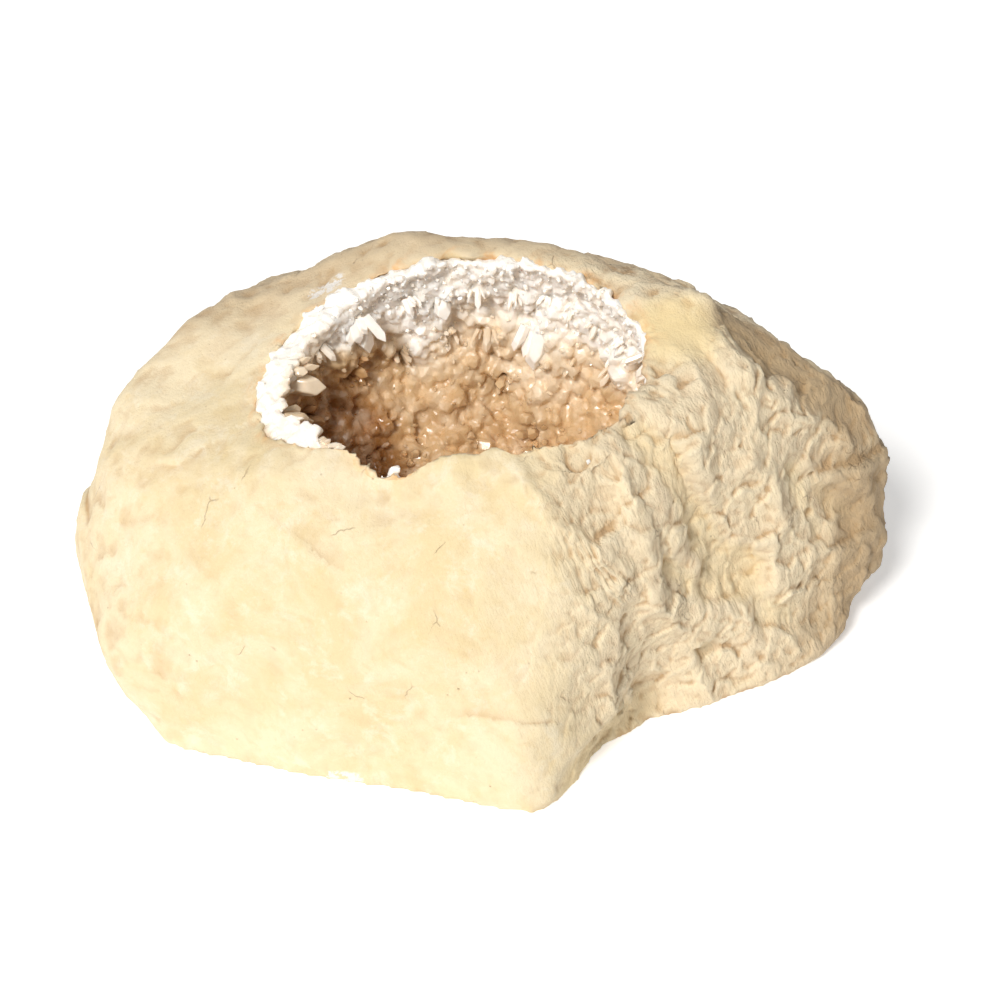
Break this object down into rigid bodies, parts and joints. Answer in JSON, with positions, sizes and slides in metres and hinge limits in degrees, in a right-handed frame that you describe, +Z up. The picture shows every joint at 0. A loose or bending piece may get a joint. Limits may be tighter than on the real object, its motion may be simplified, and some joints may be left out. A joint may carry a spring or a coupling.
{
  "type": "calcite geode",
  "caption": "Hand-dressed limestone nodule, opened on top, its hollow lined with honey calcite druse and set with blunt translucent crystals.",
  "frame": {"origin": "centre of the bounding box's underside, on the plane the stone rests on", "axes": "+Z up out of the hollow; +X along the nodule's length, towards its chiselled end; +Y away from its broad smooth face"},
  "size_m": [0.3, 0.208, 0.141],
  "materials": {
    "limestone": "matte, chisel-dressed",
    "calcite_crust": "sugary, sparkling, slightly translucent",
    "calcite_crystal": "glossy, translucent"
  },
  "bodies": {
    "root": {"limestone_shell": "limestone", "rim_crystal_1": "calcite_crystal", "rim_crystal_2": "calcite_crystal", "rim_crystal_3": "calcite_crystal", "rim_crystal_4": "calcite_crystal", "rim_crystal_5": "calcite_crystal", "rim_crystal_6": "calcite_crystal", "rim_crystal_7": "calcite_crystal", "rim_crystal_8": "calcite_crystal", "rim_crystal_9": "calcite_crystal", "rim_crystal_10": "calcite_crystal", "rim_crystal_11": "calcite_crystal", "rim_crystal_12": "calcite_crystal", "rim_crystal_13": "calcite_crystal", "rim_crystal_14": "calcite_crystal", "wall_crystal_1": "calcite_crystal", "wall_crystal_2": "calcite_crystal", "wall_crystal_3": "calcite_crystal", "wall_crystal_4": "calcite_crystal", "wall_crystal_5": "calcite_crystal", "wall_crystal_6": "calcite_crystal", "wall_crystal_7": "calcite_crystal", "wall_crystal_8": "calcite_crystal", "wall_crystal_9": "calcite_crystal", "wall_crystal_10": "calcite_crystal", "floor_crystal_1": "calcite_crystal", "floor_crystal_2": "calcite_crystal", "floor_crystal_3": "calcite_crystal", "floor_crystal_4": "calcite_crystal", "floor_crystal_5": "calcite_crystal", "floor_crystal_6": "calcite_crystal", "floor_crystal_7": "calcite_crystal", "calcite_lining": "calcite_crust"}
  },
  "joints": []
}
